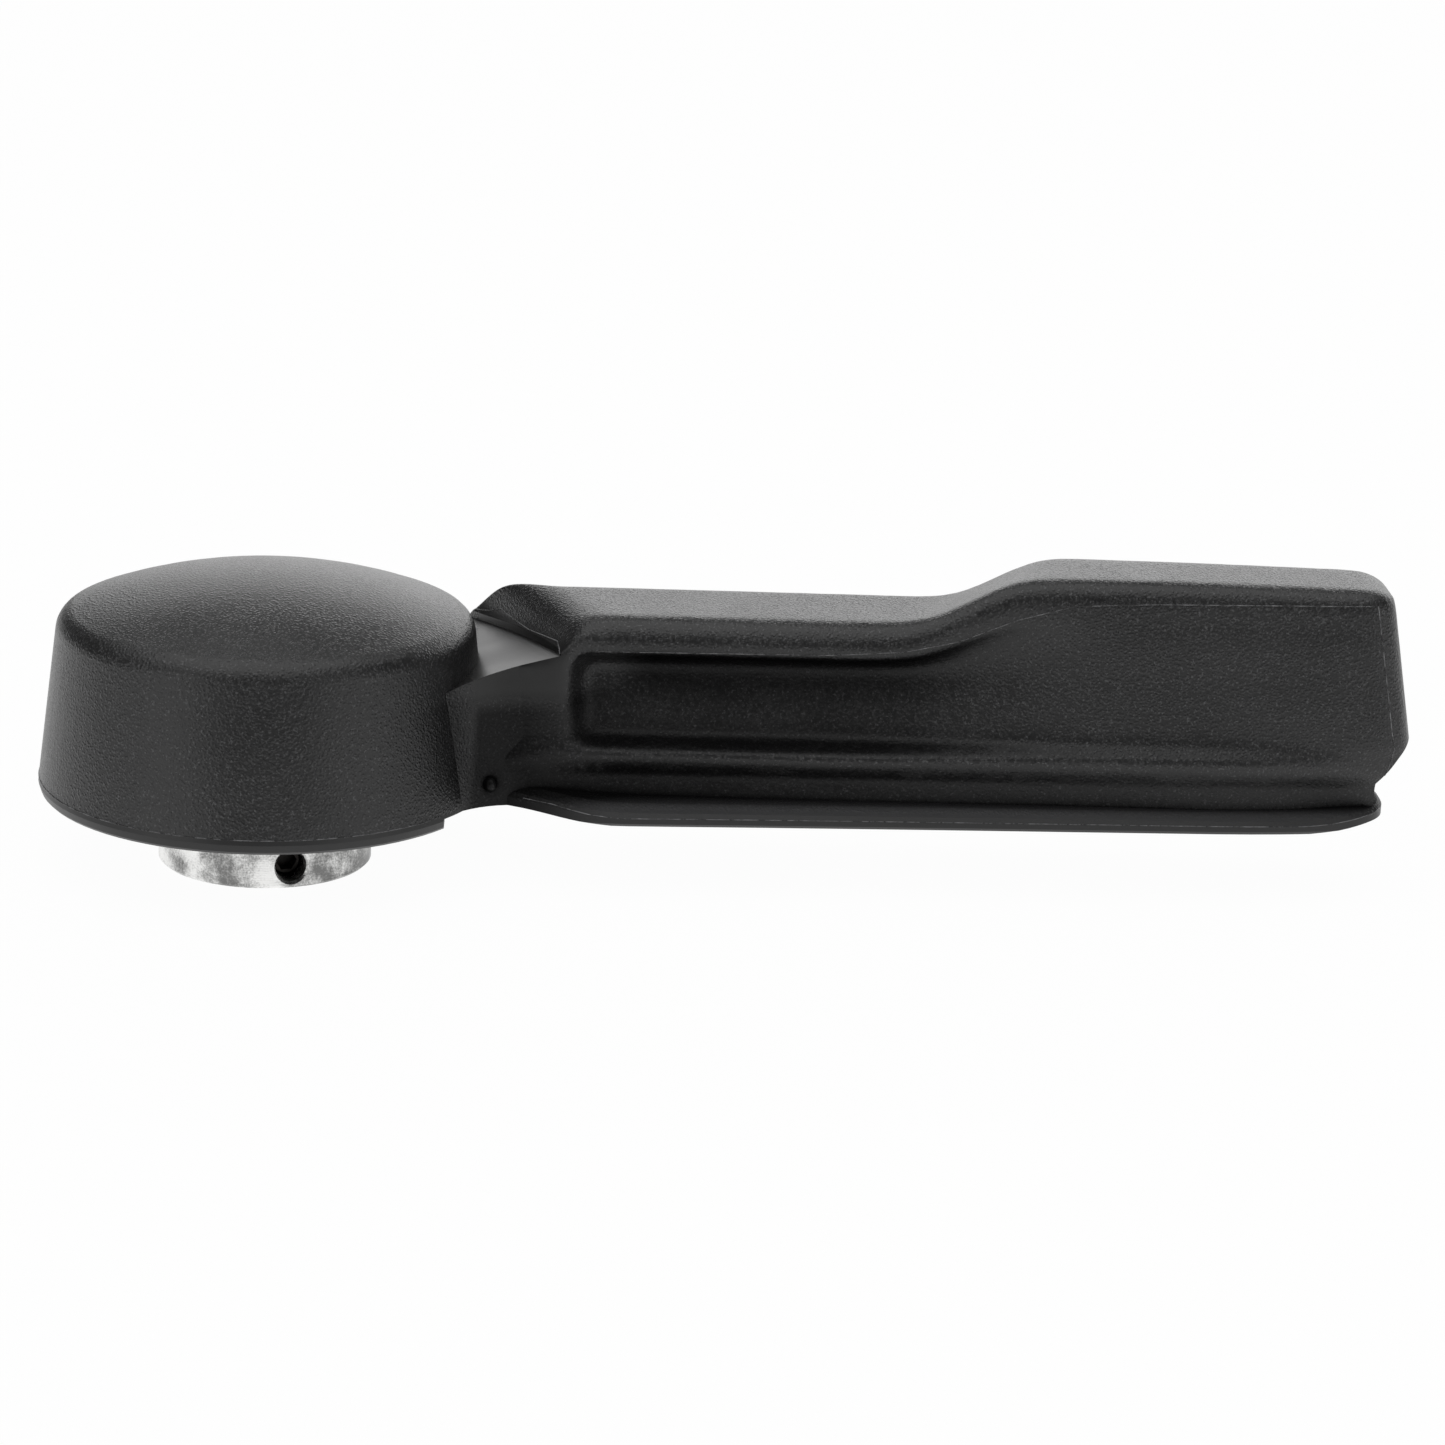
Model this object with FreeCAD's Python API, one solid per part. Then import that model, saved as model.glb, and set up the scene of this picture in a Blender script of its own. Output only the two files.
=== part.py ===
import FreeCAD, Part
import math
import os

# Seat release handle, in millimetres. X runs along the arm and Z along the hub's axis, towards the
# dome. z = 0 is the end face of the metal sleeve, and the finger groove is on the -Y side.
# Levels are measured from that end face, heights from the hub's base and runs along X from the
# hub's shoulder. The arm is built on its own heights and runs, then moved out to the shoulder.

# Sleeve: the die-cast insert that the hub is moulded round, from its bore outwards
bore_radius = 6.0
bore_depth = 20.0
sleeve_wall = 5.5
sleeve_length = 25.0
sleeve_edge = 0.3
collar_step = 3.5
collar_thickness = 4.0
collar_level = 15.0
collar_notch_radius = 2.0
collar_notch_count = 6

# Tapped cross hole and the grub screw that clamps the shaft
tapped_hole_radius = 1.7
tapped_hole_level = 2.4
tapped_hole_angle = -72.0
tapped_hole_edge = 0.3
thread_clearance = 0.05
screw_length = 3.0
screw_edge = 0.3
screw_tip_gap = 0.25
socket_across_flats = 2.0
socket_depth = 1.6
socket_sides = 6

# Hub: a drafted drum under a shallow dome, cored from below between the sleeve's boss and the skirt
base_level = 7.9
hub_boss_wall = 2.4
hub_pocket_width = 3.9
hub_skirt_wall = 2.8
hub_base_edge = 0.3
hub_seam_step = 0.25
hub_seam_height = 1.1
hub_side_draft = 2.1
hub_shoulder_height = 19.4
hub_shoulder_rounding = 2.6
dome_rise = 4.6
hub_pocket_depth = 15.0
hub_rib_thickness = 2.0
hub_rib_pair_count = 4

# Neck: where the arm leaves the hub, under a sloping flat that ends at a slanting fold
neck_half_width = 7.6
neck_fillet_radius = 12.0
neck_fillet_sink = 0.08
neck_notch_run = -2.55
neck_underside_rise = 1.3
neck_underside_bend_run = 4.75
neck_underside_dip_run = 9.75
neck_underside_end_run = 15.75
neck_lift_start_run = 2.75
flat_height_at_hub = 15.1
flat_slope_angle = 15.4
fold_front_run = 9.35
fold_front_y = -7.4
fold_middle_run = 3.85
fold_middle_y = 7.4
fold_back_run = -0.95
fold_back_y = 18.0
fold_ledge = 0.35
gate_mark_run = 2.15
gate_mark_height = 3.7
gate_mark_radius = 0.8

# Arm: where its sections change along X
arm_root_run = -7.25
ridge_start_run = -2.75
ridge_full_run = 5.75
undercut_start_run = 4.75
undercut_full_run = 13.75
groove_start_run = 6.75
groove_full_run = 11.25
groove_fade_start_run = 39.75
groove_fade_end_run = 72.75
crown_start_run = 7.25
crown_end_run = 12.25
flare_start_run = 5.4
flare_end_run = 11.4
step_start_run = 48.2
step_end_run = 60.8
arm_end_run = 101.25
tip_drop_length = 28.5
tip_top_drop = 0.3
tip_rounding = 3.4
tip_top_rounding = 1.4
tip_lean_angle = 10.0
tip_lean_length = 23.5
tip_taper_length = 17.5
chin_height = 10.1
chin_angle = 55.0
notch_setback = 3.5
notch_height = 5.1
tip_underside_rise = 1.3
tip_underside_length = 11.0

# Arm: heights of its outline at the neck, along the fingers and in the palm, from the underside up
floor_rise = 0.6
neck_undercut_height = 3.6
neck_ridge_height = 5.1
neck_web_height = 7.5
neck_groove_height = 14.4
neck_nose_height = 21.5
finger_undercut_height = 4.7
finger_ridge_height = 7.3
finger_web_height = 9.0
finger_groove_height = 15.4
finger_nose_height = 19.0
finger_top_height = 21.8
palm_undercut_height = 4.9
palm_ridge_height = 7.7
palm_web_height = 9.7
palm_groove_height = 17.6
palm_nose_height = 24.5
palm_top_height = 26.8

# Arm: half widths of its outline at the same places
undercut_half = 7.0
neck_ridge_half = 8.2
ridge_half = 8.1
neck_flat_half = 3.0
neck_back_half = 18.2
neck_root_back_half = 20.0
finger_foot_half = 7.6
finger_web_half = 5.3
finger_groove_half = 4.0
finger_nose_half = 8.0
finger_flat_half = 4.6
finger_back_half = 7.2
finger_back_foot_half = 8.0
palm_foot_half = 6.9
palm_web_half = 6.8
palm_groove_half = 6.4
palm_nose_half = 6.1
palm_flat_half = 3.2
palm_back_half = 5.8
palm_back_foot_half = 7.2
tip_foot_half = 3.6
tip_undercut_half = 4.5
tip_ridge_half = 6.0
back_rounding = 2.4

# Lip: the flange round the arm's foot
lip_end_setback = 2.0
lip_half_width = 11.2
lip_edge = 0.35
lip_seam_height = 0.9
lip_shoulder_height = 1.4
lip_shoulder_inset = 0.5
lip_slope_height = 2.1
lip_slope_inset = 1.9
lip_root_height = 2.6
lip_root_inset = 4.2
lip_core_height = 4.2
lip_core_inset = 5.2

# Core pockets: the arm is cored from below between cross ribs
core_wall = 2.4
core_roof = 2.6
core_start_run = 8.75
core_end_setback = 6.0
core_rib_thickness = 2.0
core_bay_count = 6

# Every cut runs past what it cuts by this much
overrun = 2.0

# Radii that follow from the bore outwards
sleeve_radius = bore_radius + sleeve_wall
collar_radius = sleeve_radius + collar_step
hub_boss_radius = collar_radius + hub_boss_wall
hub_base_radius = hub_boss_radius + hub_pocket_width + hub_skirt_wall
hub_seam_radius = hub_base_radius + hub_seam_step
hub_shoulder_radius = hub_seam_radius - hub_side_draft

# Poles of the arm's front outline, from the underside up: each lies between two named half widths
# and between two named heights, by the two shares
FRONT_POLE_SHARES = (
    ("foot", "undercut", 0.0, "floor", "undercut", 0.0),
    ("foot", "undercut", 0.3, "floor", "undercut", 0.5),
    ("foot", "undercut", 0.8, "floor", "undercut", 0.8),
    ("undercut", "ridge", 0.0, "floor", "undercut", 1.0),
    ("undercut", "ridge", 0.75, "undercut", "ridge", 0.45),
    ("undercut", "ridge", 1.0, "undercut", "ridge", 0.85),
    ("ridge", "web", 0.1, "ridge", "web", 0.2),
    ("ridge", "web", 0.7, "ridge", "web", 0.6),
    ("ridge", "web", 1.0, "ridge", "web", 1.0),
    ("web", "groove", 0.2, "web", "groove", 0.35),
    ("web", "groove", 0.65, "web", "groove", 0.7),
    ("web", "groove", 1.0, "web", "groove", 0.95),
    ("groove", "nose", 0.05, "groove", "nose", 0.3),
    ("groove", "nose", 0.5, "groove", "nose", 0.6),
    ("groove", "nose", 0.88, "groove", "nose", 0.68),
    ("groove", "nose", 1.0, "groove", "nose", 0.9),
    ("nose", "flat", 0.0, "nose", "top", 0.35),
    ("nose", "flat", 0.25, "nose", "top", 0.85),
    ("nose", "flat", 0.65, "nose", "top", 1.0),
    ("nose", "flat", 1.0, "nose", "top", 1.0),
)

# Stations of the arm along its run to the tip's rounding, close together at the crown and the step,
# and how far each station's plane is turned (run over width): along the fold, then along the step
STATION_SHARES = (
    (0.0, 0.0), (0.04, -0.16), (0.08, -0.32), (0.105, -0.37), (0.12, -0.37), (0.131, -0.37),
    (0.141, -0.37), (0.151, -0.37), (0.162, -0.37), (0.175, -0.37), (0.192, -0.34), (0.215, -0.28),
    (0.255, -0.16), (0.32, 0.0), (0.41, 0.22), (0.48, 0.35), (0.53, 0.35), (0.565, 0.35), (0.6, 0.35),
    (0.635, 0.35), (0.67, 0.32), (0.71, 0.25), (0.78, 0.12), (0.86, 0.0), (0.94, 0.0), (1.0, 0.0),
)
TIP_ANGLES = (28.0, 52.0, 70.0, 82.0)
CROWN_BACK_SHARE = 0.05
UNDERSIDE_DIP_SHARE = 0.33
TIP_UNDERSIDE_SHARES = (0.0, 0.25, 0.5, 0.75, 1.0)

# Poles of the arm's back: across the top to the rounding, over the rounding and down the drafted wall
TOP_POLE_SHARES = (0.33, 0.67, 1.0)
BACK_ROUNDING_SHARE = 0.67
BACK_WALL_SHARES = (0.0, 0.33, 0.67, 1.0)

# Outline of the lip in plan: shares of its run and of its half width
LIP_OUTLINE_SHARES = (
    (0.0, 0.62), (0.065, 0.65), (0.103, 0.71), (0.14, 0.84), (0.178, 0.98), (0.215, 1.03), (0.29, 0.98),
    (0.515, 0.89), (0.748, 0.81), (0.851, 0.78), (0.917, 0.71), (0.964, 0.62), (1.0, 0.38),
)


def vec(x, y, z):
    return FreeCAD.Vector(x, y, z)


def mix(start, end, share):
    return start + (end - start) * share


def smooth_share(x, start, end):
    share = min(max((x - start) / (end - start), 0), 1)
    return share * share * (3 - 2 * share)


def spline_edge(poles):
    """A smooth cubic curve that starts and ends on its first and last pole."""
    curve = Part.BSplineCurve()
    curve.buildFromPolesMultsKnots(poles, clamped_mults(len(poles)), list(range(len(poles) - 2)), False, 3)
    return curve.toShape()


def clamped_mults(count):
    return [4] + [1] * (count - 4) + [4]


def skinned_solid(rows):
    """A solid under one smooth skin. Each row of poles starts and ends on the flat floor."""
    counts = (len(rows), len(rows[0]))
    u_knots, v_knots = [list(range(count - 2)) for count in counts]
    surface = Part.BSplineSurface()
    surface.buildFromPolesMultsKnots(rows, clamped_mults(counts[0]), clamped_mults(counts[1]),
                                     u_knots, v_knots, False, False, 3, 3)
    root_side = surface.uIso(u_knots[0]).toShape()
    tip_side = surface.uIso(u_knots[-1]).toShape()
    front_foot = surface.vIso(v_knots[0]).toShape()
    back_foot = surface.vIso(v_knots[-1]).toShape()
    root_base = Part.makeLine(rows[0][0], rows[0][-1])
    tip_base = Part.makeLine(rows[-1][0], rows[-1][-1])
    faces = [surface.toShape(), Part.Face(Part.Wire([root_side, root_base])),
             Part.Face(Part.Wire([tip_side, tip_base])),
             Part.Face(Part.Wire([front_foot, tip_base, back_foot, root_base]))]
    shell = Part.Shell(faces)
    shell.sewShape()
    solid = Part.Solid(shell)
    if solid.Volume < 0:
        solid.reverse()
    return solid


def prism(points, travel):
    """Extrude a flat polygon."""
    return Part.Face(Part.makePolygon(points + points[:1])).extrude(travel)


def sleeve_outside():
    """The insert without its holes: what the moulding is formed round."""
    sleeve = Part.makeCylinder(sleeve_radius, sleeve_length)
    collar = Part.makeCylinder(collar_radius, collar_thickness, vec(0, 0, collar_level))
    for turn in range(collar_notch_count):
        angle = math.radians(360 * turn / collar_notch_count)
        place = vec(collar_radius * math.cos(angle), collar_radius * math.sin(angle), collar_level)
        collar = collar.cut(Part.makeCylinder(collar_notch_radius, collar_thickness, place))
    return sleeve.fuse(collar).removeSplitter()


def hole_direction():
    angle = math.radians(tapped_hole_angle)
    return vec(math.cos(angle), math.sin(angle), 0)


def hub_insert(outside):
    out = hole_direction()
    end_ring = Part.makeCylinder(sleeve_radius, sleeve_edge)
    end_cone = Part.makeCone(sleeve_radius - sleeve_edge, sleeve_radius, sleeve_edge)
    bore = Part.makeCylinder(bore_radius, bore_depth)
    level = vec(0, 0, tapped_hole_level)
    tapped = Part.makeCylinder(tapped_hole_radius, sleeve_radius + overrun, level, out)
    mouth_start = level + out * (sleeve_radius - tapped_hole_edge)
    mouth_radius = tapped_hole_radius + tapped_hole_edge + overrun
    mouth = Part.makeCone(tapped_hole_radius, mouth_radius, tapped_hole_edge + overrun, mouth_start, out)
    return outside.cut([end_ring.cut(end_cone), bore, tapped, mouth])


def set_screw():
    """A grub screw, its tip just clear of the bore, with a hexagon socket at its outer end."""
    out = hole_direction()
    level = vec(0, 0, tapped_hole_level)
    tip = level + out * (bore_radius + screw_tip_gap)
    head = tip + out * screw_length
    radius = tapped_hole_radius - thread_clearance
    shank = Part.makeCylinder(radius, screw_length - 2 * screw_edge, tip + out * screw_edge, out)
    point = Part.makeCone(radius - screw_edge, radius, screw_edge, tip, out)
    crown = Part.makeCone(radius, radius - screw_edge, screw_edge, head - out * screw_edge, out)
    side = vec(-out.y, out.x, 0)
    corner_radius = socket_across_flats / (2 * math.cos(math.pi / socket_sides))
    corners = []
    for turn in range(socket_sides):
        angle = 2 * math.pi * turn / socket_sides
        across = side * (corner_radius * math.cos(angle)) + vec(0, 0, corner_radius * math.sin(angle))
        corners.append(head - out * socket_depth + across)
    socket = prism(corners, out * (socket_depth + overrun))
    return shank.fuse([point, crown]).removeSplitter().cut(socket)


def hub_drum():
    """Revolve the hub: base edge, seam, drafted side, rounded shoulder and dome."""
    dome_height = hub_shoulder_height + dome_rise
    dome_radius = (hub_shoulder_radius ** 2 + dome_rise ** 2) / (2 * dome_rise)
    mid_angle = math.asin(hub_shoulder_radius / dome_radius) / 2
    mid_drop = dome_radius * (1 - math.cos(mid_angle))
    mid_point = vec(dome_radius * math.sin(mid_angle), 0, dome_height - mid_drop)
    corners = [vec(0, 0, 0), vec(hub_base_radius - hub_base_edge, 0, 0),
               vec(hub_base_radius, 0, hub_base_edge), vec(hub_seam_radius, 0, hub_seam_height),
               vec(hub_shoulder_radius, 0, hub_shoulder_height)]
    edges = [Part.LineSegment(a, b).toShape() for a, b in zip(corners, corners[1:])]
    apex = vec(0, 0, dome_height)
    edges.append(Part.Arc(corners[-1], mid_point, apex).toShape())
    edges.append(Part.LineSegment(apex, corners[0]).toShape())
    drum = Part.Face(Part.Wire(edges)).revolve(vec(0, 0, 0), vec(0, 0, 1), 360)
    drum = Part.Solid(drum) if drum.ShapeType == "Shell" else drum
    rings = [edge for edge in drum.Edges if edge.isClosed()]
    shoulder = [ring for ring in rings if ring.Vertexes[0].Point.isEqual(corners[-1], hub_base_edge)]
    return drum.makeFillet(hub_shoulder_rounding, shoulder)


def hub_pockets():
    """The ring-shaped core between the boss and the skirt, less its radial ribs."""
    inner = hub_boss_radius
    low_outer = hub_base_radius - hub_skirt_wall
    high_outer = low_outer - hub_side_draft * hub_pocket_depth / hub_shoulder_height
    outline = Part.makePolygon([vec(inner, 0, -overrun), vec(low_outer, 0, -overrun),
                                vec(high_outer, 0, hub_pocket_depth), vec(inner, 0, hub_pocket_depth),
                                vec(inner, 0, -overrun)])
    ring = Part.Face(outline).revolve(vec(0, 0, 0), vec(0, 0, 1), 360)
    rib_corner = vec(-hub_base_radius, -hub_rib_thickness / 2, -overrun)
    rib = Part.makeBox(2 * hub_base_radius, hub_rib_thickness, hub_pocket_depth + overrun, rib_corner)
    for turn in range(hub_rib_pair_count):
        angle = 360 * (2 * turn + 1) / (4 * hub_rib_pair_count)
        turned = rib.copy()
        turned.rotate(vec(0, 0, 0), vec(0, 0, 1), angle)
        ring = ring.cut(turned)
    return ring


def flat_height(x):
    """The height of the neck's sloping flat at x."""
    return flat_height_at_hub + x * math.tan(math.radians(flat_slope_angle))


def section_at(x):
    """The arm's half widths and heights at a run x, between its neck, finger and palm outlines."""
    ridge = smooth_share(x, ridge_start_run, ridge_full_run)
    undercut = smooth_share(x, undercut_start_run, undercut_full_run)
    groove = smooth_share(x, groove_start_run, groove_full_run)
    flare = smooth_share(x, flare_start_run, flare_end_run)
    fade = smooth_share(x, groove_fade_start_run, groove_fade_end_run)
    rise = smooth_share(x, step_start_run, step_end_run)
    tip = smooth_share(x, arm_end_run - tip_taper_length, arm_end_run)
    root_share = min(max((x - arm_root_run) / (flare_start_run - arm_root_run), 0), 1)
    neck_back = mix(neck_root_back_half, neck_back_half, root_share)
    foot = mix(mix(neck_half_width, finger_foot_half, undercut), palm_foot_half, fade)
    halves = {
        "foot": mix(foot, tip_foot_half, tip),
        "undercut": mix(mix(neck_half_width, undercut_half, undercut), tip_undercut_half, tip),
        "ridge": mix(mix(neck_ridge_half, ridge_half, ridge), tip_ridge_half, tip),
        "web": mix(mix(neck_half_width, finger_web_half, groove), palm_web_half, fade),
        "groove": mix(mix(neck_half_width, finger_groove_half, groove), palm_groove_half, fade),
        "nose": mix(mix(neck_half_width, finger_nose_half, groove), palm_nose_half, fade),
        "flat": mix(mix(neck_flat_half, finger_flat_half, groove), palm_flat_half, fade),
        "back_top": mix(mix(neck_back, finger_back_half, flare), palm_back_half, fade),
        "back_foot": mix(mix(neck_back, finger_back_foot_half, flare), palm_back_foot_half, fade),
    }
    heights = {
        "floor": floor_rise,
        "undercut": mix(mix(neck_undercut_height, finger_undercut_height, ridge),
                        palm_undercut_height, fade),
        "ridge": mix(mix(neck_ridge_height, finger_ridge_height, ridge), palm_ridge_height, fade),
        "web": mix(mix(neck_web_height, finger_web_height, ridge), palm_web_height, fade),
        "groove": mix(mix(neck_groove_height, finger_groove_height, groove), palm_groove_height, fade),
        "nose": mix(mix(neck_nose_height, finger_nose_height, groove), palm_nose_height, rise),
        "top": mix(finger_top_height, palm_top_height, rise),
    }
    heights["top"] -= tip_top_drop * smooth_share(x, arm_end_run - tip_drop_length, arm_end_run)
    return halves, heights


def arm_outline(x):
    """Poles (y, z) of the arm's outline at x, from its front foot over the top to its back foot."""
    halves, heights = section_at(x)
    poles = []
    for low, high, half_share, below, above, height_share in FRONT_POLE_SHARES:
        half = mix(halves[low], halves[high], half_share)
        poles.append((-half, mix(heights[below], heights[above], height_share)))
    back_flat = halves["back_top"] - back_rounding
    for share in TOP_POLE_SHARES:
        poles.append((mix(-halves["flat"], back_flat, share), heights["top"]))
    wall_top = heights["top"] - back_rounding
    poles.append((mix(back_flat, halves["back_top"], BACK_ROUNDING_SHARE), heights["top"]))
    poles.append((halves["back_top"], mix(wall_top, heights["top"], BACK_ROUNDING_SHARE)))
    for share in BACK_WALL_SHARES:
        y = mix(halves["back_top"], halves["back_foot"], share)
        poles.append((y, mix(wall_top, heights["floor"], share)))
    return poles


def arm_station(x, skew, tip_turn):
    """One row of poles across the arm. tip_turn draws it in round the tip, from 0 to a quarter turn."""
    lean_share = smooth_share(x, arm_end_run - tip_lean_length, arm_end_run)
    lean = math.tan(math.radians(tip_lean_angle)) * lean_share
    halves, heights = section_at(x)
    shrink_share = 1 - math.cos(tip_turn)
    side_share = 1 - shrink_share * tip_rounding / halves["web"]
    points = []
    for y, z in arm_outline(x):
        place = x + skew * y
        height_share = max(z - heights["web"], 0) / (heights["top"] - heights["web"])
        lowered = heights["top"] - flat_height(place) - fold_ledge
        z -= height_share * lowered * (1 - crown_share(x, y))
        z -= height_share * tip_top_rounding * shrink_share
        points.append(vec(place + lean * (chin_height - z), y * side_share, z))
    return points


def crown_share(x, y):
    """How far the arm has risen from the fold to its full height, by a quarter round."""
    x += CROWN_BACK_SHARE * max(y, 0)
    turn = min(max((crown_end_run - x) / (crown_end_run - crown_start_run), 0), 1)
    return math.sqrt(1 - turn ** 2)


def arm_grip():
    """Skin the arm over its stations, then cut the chin and the undercut round its tip."""
    rounding_start_x = arm_end_run - tip_rounding
    runs = [mix(arm_root_run, rounding_start_x, share) for share, skew in STATION_SHARES]
    rows = [arm_station(run, skew, 0) for run, (share, skew) in zip(runs, STATION_SHARES)]
    for angle in TIP_ANGLES:
        turn = math.radians(angle)
        rows.append(arm_station(rounding_start_x + tip_rounding * math.sin(turn), 0, turn))
    return skinned_solid(rows).cut(chin_cut())


def chin_cut():
    """What is cut away under the chin, so that the undercut runs round the tip."""
    half = lip_half_width + overrun
    notch_run = arm_end_run - notch_setback
    reach = notch_setback + overrun
    rise = reach * math.tan(math.radians(chin_angle))
    points = [vec(notch_run, -half, -overrun), vec(notch_run, -half, notch_height),
              vec(notch_run + reach, -half, notch_height + rise), vec(notch_run + reach, -half, -overrun)]
    return prism(points, vec(0, 2 * half, 0))


def foot_lift(x):
    """How far the arm's foot is lifted towards the neck and towards the tip."""
    neck_share = 1 - smooth_share(x, neck_lift_start_run, neck_underside_end_run)
    tip_share = smooth_share(x, arm_end_run - tip_underside_length, arm_end_run)
    return neck_underside_rise * neck_share + tip_underside_rise * tip_share


def lip_outline(inset, height, lifted):
    """A closed wire round the arm's foot, drawn in by the inset and lifted with the foot or kept flat."""
    run = arm_end_run - lip_end_setback - arm_root_run - inset
    half = lip_half_width - inset
    front = [(arm_root_run + run * place, -half * width) for place, width in LIP_OUTLINE_SHARES]
    back = [(x, -y) for x, y in reversed(front)]
    places = [(arm_root_run, 0)] + front + [(arm_root_run + run, 0)] + back + [(arm_root_run, 0)]
    return Part.Wire([spline_edge([vec(x, y, height + foot_lift(x) * lifted) for x, y in places])])


def arm_lip():
    """The flange round the arm's foot: a square edge with a seam, under a sloping top."""
    layers = ((lip_edge, 0, False), (0, lip_edge, False), (0, lip_seam_height, True),
              (lip_shoulder_inset, lip_shoulder_height, True), (lip_slope_inset, lip_slope_height, True),
              (lip_root_inset, lip_root_height, True), (lip_core_inset, lip_core_height, False))
    wires = [lip_outline(inset, height, lifted) for inset, height, lifted in layers]
    return Part.makeLoft(wires, True, True)


def corner_centre(hub_radius):
    """The centre in plan of the hollow corner between the neck's front side and the hub, from the axis."""
    centre_reach = hub_radius + neck_fillet_radius
    centre_y = neck_half_width - neck_fillet_sink + neck_fillet_radius
    return math.sqrt(centre_reach ** 2 - centre_y ** 2), centre_y


def corner_outline(hub_radius, height):
    """The fill of that corner in plan, at one height."""
    centre_x, centre_y = corner_centre(hub_radius)
    centre_reach = hub_radius + neck_fillet_radius
    side_y = centre_y - neck_fillet_radius
    hub_x = centre_x * hub_radius / centre_reach
    hub_y = centre_y * hub_radius / centre_reach
    bisector = (math.atan2(hub_y - centre_y, hub_x - centre_x) - math.pi / 2) / 2
    mid_x = centre_x + neck_fillet_radius * math.cos(bisector)
    mid_y = centre_y + neck_fillet_radius * math.sin(bisector)
    arc = Part.Arc(vec(hub_x, -hub_y, height), vec(mid_x, -mid_y, height), vec(centre_x, -side_y, height))
    sides = Part.makePolygon([vec(centre_x, -side_y, height), vec(centre_x, 0, height),
                              vec(hub_x, 0, height), vec(hub_x, -hub_y, height)])
    return Part.Wire([arc.toShape()] + sides.Edges)


def neck_corner_fill():
    """That fill in the arm's place, drafted like the hub's side."""
    fill = Part.makeLoft([corner_outline(hub_base_radius, 0),
                          corner_outline(hub_shoulder_radius, hub_shoulder_height)], True, True)
    return fill.translated(vec(-hub_shoulder_radius, 0, 0))


def gate_mark():
    """The nub that the mould's gate leaves on that corner."""
    hub_radius = mix(hub_base_radius, hub_shoulder_radius, gate_mark_height / hub_shoulder_height)
    centre_x, centre_y = corner_centre(hub_radius)
    across = centre_x - hub_shoulder_radius - gate_mark_run
    y = centre_y - math.sqrt(neck_fillet_radius ** 2 - across ** 2)
    return Part.makeSphere(gate_mark_radius, vec(gate_mark_run, -y, gate_mark_height))


def neck_flat_cut():
    """What is cut away above the neck's sloping flat and before the arm's slanting fold."""
    reach = hub_base_radius
    far_x = fold_front_run + reach
    top = flat_height(far_x) + reach
    above = prism([vec(-reach, -reach, flat_height(-reach)), vec(far_x, -reach, flat_height(far_x)),
                   vec(far_x, -reach, top), vec(-reach, -reach, top)], vec(0, 2 * reach, 0))
    front = vec(fold_front_run, fold_front_y, 0)
    middle = vec(fold_middle_run, fold_middle_y, 0)
    back = vec(fold_back_run, fold_back_y, 0)
    fold = Part.Arc(front, middle, back).toShape()
    sides = Part.makePolygon([back, vec(fold_back_run, reach, 0), vec(-reach, reach, 0),
                              vec(-reach, -reach, 0), vec(fold_front_run, -reach, 0), front])
    before = Part.Face(Part.Wire([fold] + sides.Edges)).extrude(vec(0, 0, top))
    return above.common(before)


def neck_underside_cut():
    """What is cut away below the neck: the notch in the hub's skirt and the rise beyond it."""
    high = neck_underside_rise
    far = neck_underside_end_run + overrun
    dip = high * UNDERSIDE_DIP_SHARE
    points = [(neck_notch_run, high), (neck_underside_bend_run, high), (neck_underside_dip_run, dip),
              (neck_underside_end_run, 0), (far, -lip_edge)]
    return below_curve(points)


def tip_underside_cut():
    """What is cut away below the tip, where the lip sweeps up."""
    start = arm_end_run - tip_underside_length
    places = [mix(start, arm_end_run, share) for share in TIP_UNDERSIDE_SHARES]
    points = [(start - overrun, -lip_edge)] + [(x, foot_lift(x)) for x in places]
    return below_curve(points)


def below_curve(points):
    """A cut as wide as the hub, from below the base up to a smooth curve of runs and heights."""
    half = hub_base_radius + overrun
    curve = spline_edge([vec(x, -half, height) for x, height in points])
    first, last = points[0], points[-1]
    sides = Part.makePolygon([vec(last[0], -half, last[1]), vec(last[0], -half, -overrun),
                              vec(first[0], -half, -overrun), vec(first[0], -half, first[1])])
    face = Part.Face(Part.Wire([curve] + sides.Edges))
    return face.extrude(vec(0, 2 * half, 0))


def core_pocket(start_x, end_x):
    """One drafted pocket in the arm's underside, walled alike at its web, groove, back and roof."""
    sections = [section_at(x) for x in (start_x, (start_x + end_x) / 2, end_x)]
    roof = min(heights["top"] for halves, heights in sections) - core_roof
    groove_height = sections[1][1]["groove"]
    web = min(halves["web"] for halves, heights in sections) - core_wall
    groove = min(halves["groove"] for halves, heights in sections) - core_wall
    roof_front = mix(web, groove, roof / groove_height)
    foot_back = min(halves["back_foot"] for halves, heights in sections) - core_wall
    roof_back = min(halves["back_top"] for halves, heights in sections) - core_wall
    low = [vec(start_x, -web, -overrun), vec(end_x, -web, -overrun), vec(end_x, foot_back, -overrun),
           vec(start_x, foot_back, -overrun)]
    high = [vec(start_x, -roof_front, roof), vec(end_x, -roof_front, roof), vec(end_x, roof_back, roof),
            vec(start_x, roof_back, roof)]
    return Part.makeLoft([Part.makePolygon(low + low[:1]), Part.makePolygon(high + high[:1])], True, True)


def core_pockets():
    core_run = arm_end_run - core_end_setback - core_start_run
    pitch = (core_run + core_rib_thickness) / core_bay_count
    pockets = []
    for bay in range(core_bay_count):
        start = core_start_run + pitch * bay
        pockets.append(core_pocket(start, start + pitch - core_rib_thickness))
    return pockets


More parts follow.
